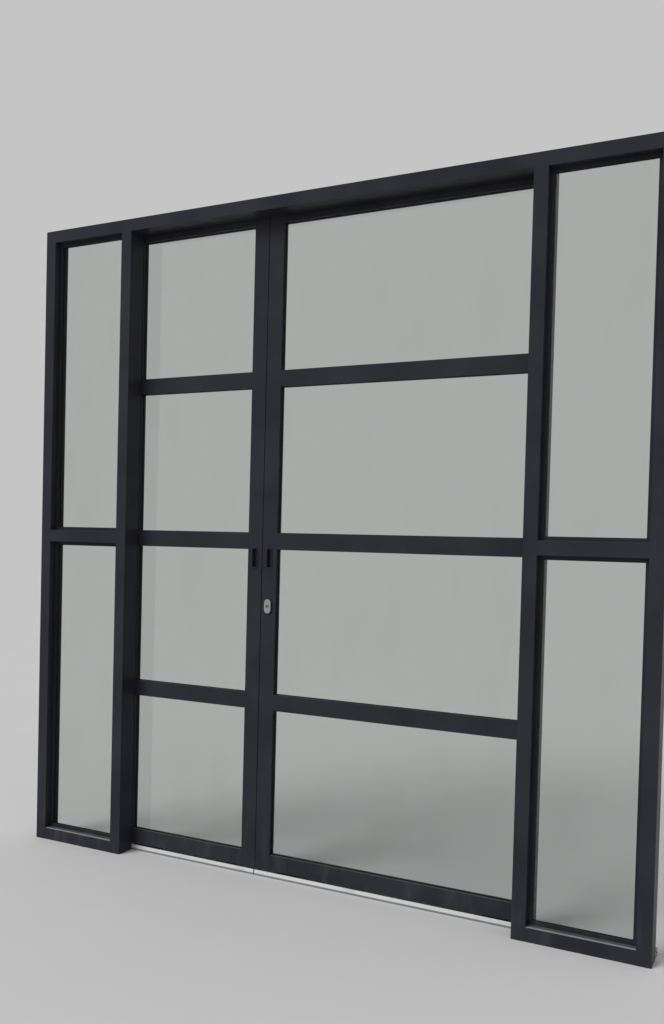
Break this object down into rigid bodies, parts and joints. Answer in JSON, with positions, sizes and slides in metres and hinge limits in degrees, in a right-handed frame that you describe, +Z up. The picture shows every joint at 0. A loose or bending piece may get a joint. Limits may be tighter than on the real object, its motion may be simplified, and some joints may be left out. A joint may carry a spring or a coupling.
{
  "type": "sliding glass door with sidelights",
  "caption": "Black aluminium entrance screen with two fixed sidelights and two unequal sliding glazed leaves on a floor rail.",
  "frame": {"origin": "middle of the footprint, on the floor", "axes": "+X to the right seen from outside, +Y into the room, +Z up"},
  "size_m": [2.36, 0.14, 2.4],
  "materials": {
    "black_powder_coat": "black powder coat",
    "clear_glass": "clear",
    "black_rubber": "matte",
    "mill_aluminium": "mill",
    "zinc_plated_steel": "zinc plated",
    "satin_chrome": "satin",
    "black_nylon": "matte",
    "grey_pile": "woven pile",
    "black_cast_zinc": "satin"
  },
  "bodies": {
    "frame": {"head": "black_powder_coat", "left_jamb": "black_powder_coat", "right_jamb": "black_powder_coat", "left_mullion": "black_powder_coat", "right_mullion": "black_powder_coat", "left_sill_rail": "black_powder_coat", "right_sill_rail": "black_powder_coat", "left_transom": "black_powder_coat", "right_transom": "black_powder_coat", "joint_cleats": "mill_aluminium", "left_lower_pane": "clear_glass", "left_upper_pane": "clear_glass", "right_lower_pane": "clear_glass", "right_upper_pane": "clear_glass", "sidelight_channels": "black_powder_coat", "sidelight_gaskets": "black_rubber", "left_floor_rail": "mill_aluminium", "right_floor_rail": "mill_aluminium", "top_guide": "black_powder_coat", "guide_screws": "zinc_plated_steel", "pile_seals": "grey_pile", "end_stops": "black_rubber"},
    "left_leaf": {"left_outer_stile": "black_powder_coat", "left_meeting_stile": "black_powder_coat", "left_bottom_rail": "black_powder_coat", "left_top_rail": "black_powder_coat", "left_lower_muntin": "black_powder_coat", "left_middle_muntin": "black_powder_coat", "left_upper_muntin": "black_powder_coat", "left_leaf_panes": "clear_glass", "left_leaf_gaskets": "black_rubber", "left_leaf_screws": "zinc_plated_steel", "left_roller_housings": "zinc_plated_steel", "left_guide_blocks": "black_nylon", "left_flush_pulls": "black_cast_zinc", "keeper_plate": "satin_chrome", "meeting_seal": "black_rubber"},
    "right_leaf": {"right_outer_stile": "black_powder_coat", "right_meeting_stile": "black_powder_coat", "right_bottom_rail": "black_powder_coat", "right_top_rail": "black_powder_coat", "right_lower_muntin": "black_powder_coat", "right_middle_muntin": "black_powder_coat", "right_upper_muntin": "black_powder_coat", "right_leaf_panes": "clear_glass", "right_leaf_gaskets": "black_rubber", "right_leaf_screws": "zinc_plated_steel", "right_roller_housings": "zinc_plated_steel", "right_guide_blocks": "black_nylon", "right_flush_pulls": "black_cast_zinc", "lock_case": "zinc_plated_steel", "lock_cylinder": "satin_chrome", "inner_rose": "satin_chrome"},
    "lock_claw": {"lock_claw": "zinc_plated_steel"},
    "key_plug": {"key_plug": "satin_chrome"},
    "thumb_turn": {"thumb_turn": "satin_chrome"},
    "left_outer_wheel": {"left_outer_wheel": "black_nylon"},
    "left_meeting_wheel": {"left_meeting_wheel": "black_nylon"},
    "right_outer_wheel": {"right_outer_wheel": "black_nylon"},
    "right_meeting_wheel": {"right_meeting_wheel": "black_nylon"}
  },
  "joints": [
    {"name": "left_leaf_slide", "type": "slide", "parent": "frame", "child": "left_leaf", "axis": [-1, 0, 0], "range_m": [0, 0.357]},
    {"name": "right_leaf_slide", "type": "slide", "parent": "frame", "child": "right_leaf", "axis": [1, 0, 0], "range_m": [0, 0.367]},
    {"name": "left_outer_wheel_spin", "type": "hinge", "parent": "left_leaf", "child": "left_outer_wheel", "pos_m": [-0.695, 0.028, 0.0253], "axis": [0, -1, 0], "range_deg": [0, 1280]},
    {"name": "left_meeting_wheel_spin", "type": "hinge", "parent": "left_leaf", "child": "left_meeting_wheel", "pos_m": [-0.3385, 0.028, 0.0253], "axis": [0, -1, 0], "range_deg": [0, 1280]},
    {"name": "right_outer_wheel_spin", "type": "hinge", "parent": "right_leaf", "child": "right_outer_wheel", "pos_m": [0.685, 0.028, 0.0253], "axis": [0, 1, 0], "range_deg": [0, 1315]},
    {"name": "right_meeting_wheel_spin", "type": "hinge", "parent": "right_leaf", "child": "right_meeting_wheel", "pos_m": [-0.0795, 0.028, 0.0253], "axis": [0, 1, 0], "range_deg": [0, 1315]},
    {"name": "thumb_turn_turn", "type": "hinge", "parent": "right_leaf", "child": "thumb_turn", "pos_m": [-0.1785, 0.028, 0.974], "axis": [0, -1, 0], "range_deg": [0, 90]},
    {"name": "key_plug_turn", "type": "hinge", "parent": "right_leaf", "child": "key_plug", "pos_m": [-0.1785, 0.028, 0.974], "axis": [0, -1, 0], "range_deg": [0, 90]},
    {"name": "lock_claw_turn", "type": "hinge", "parent": "right_leaf", "child": "lock_claw", "pos_m": [-0.1985, 0.028, 1.024], "axis": [0, -1, 0], "range_deg": [0, 75]}
  ],
  "couplings": [
    {"joint": "left_outer_wheel_spin", "follows": "left_leaf_slide", "rad_per_m": 62.5},
    {"joint": "left_meeting_wheel_spin", "follows": "left_leaf_slide", "rad_per_m": 62.5},
    {"joint": "right_outer_wheel_spin", "follows": "right_leaf_slide", "rad_per_m": 62.5},
    {"joint": "right_meeting_wheel_spin", "follows": "right_leaf_slide", "rad_per_m": 62.5},
    {"joint": "key_plug_turn", "follows": "thumb_turn_turn", "ratio": 1},
    {"joint": "lock_claw_turn", "follows": "thumb_turn_turn", "ratio": 0.83333}
  ]
}
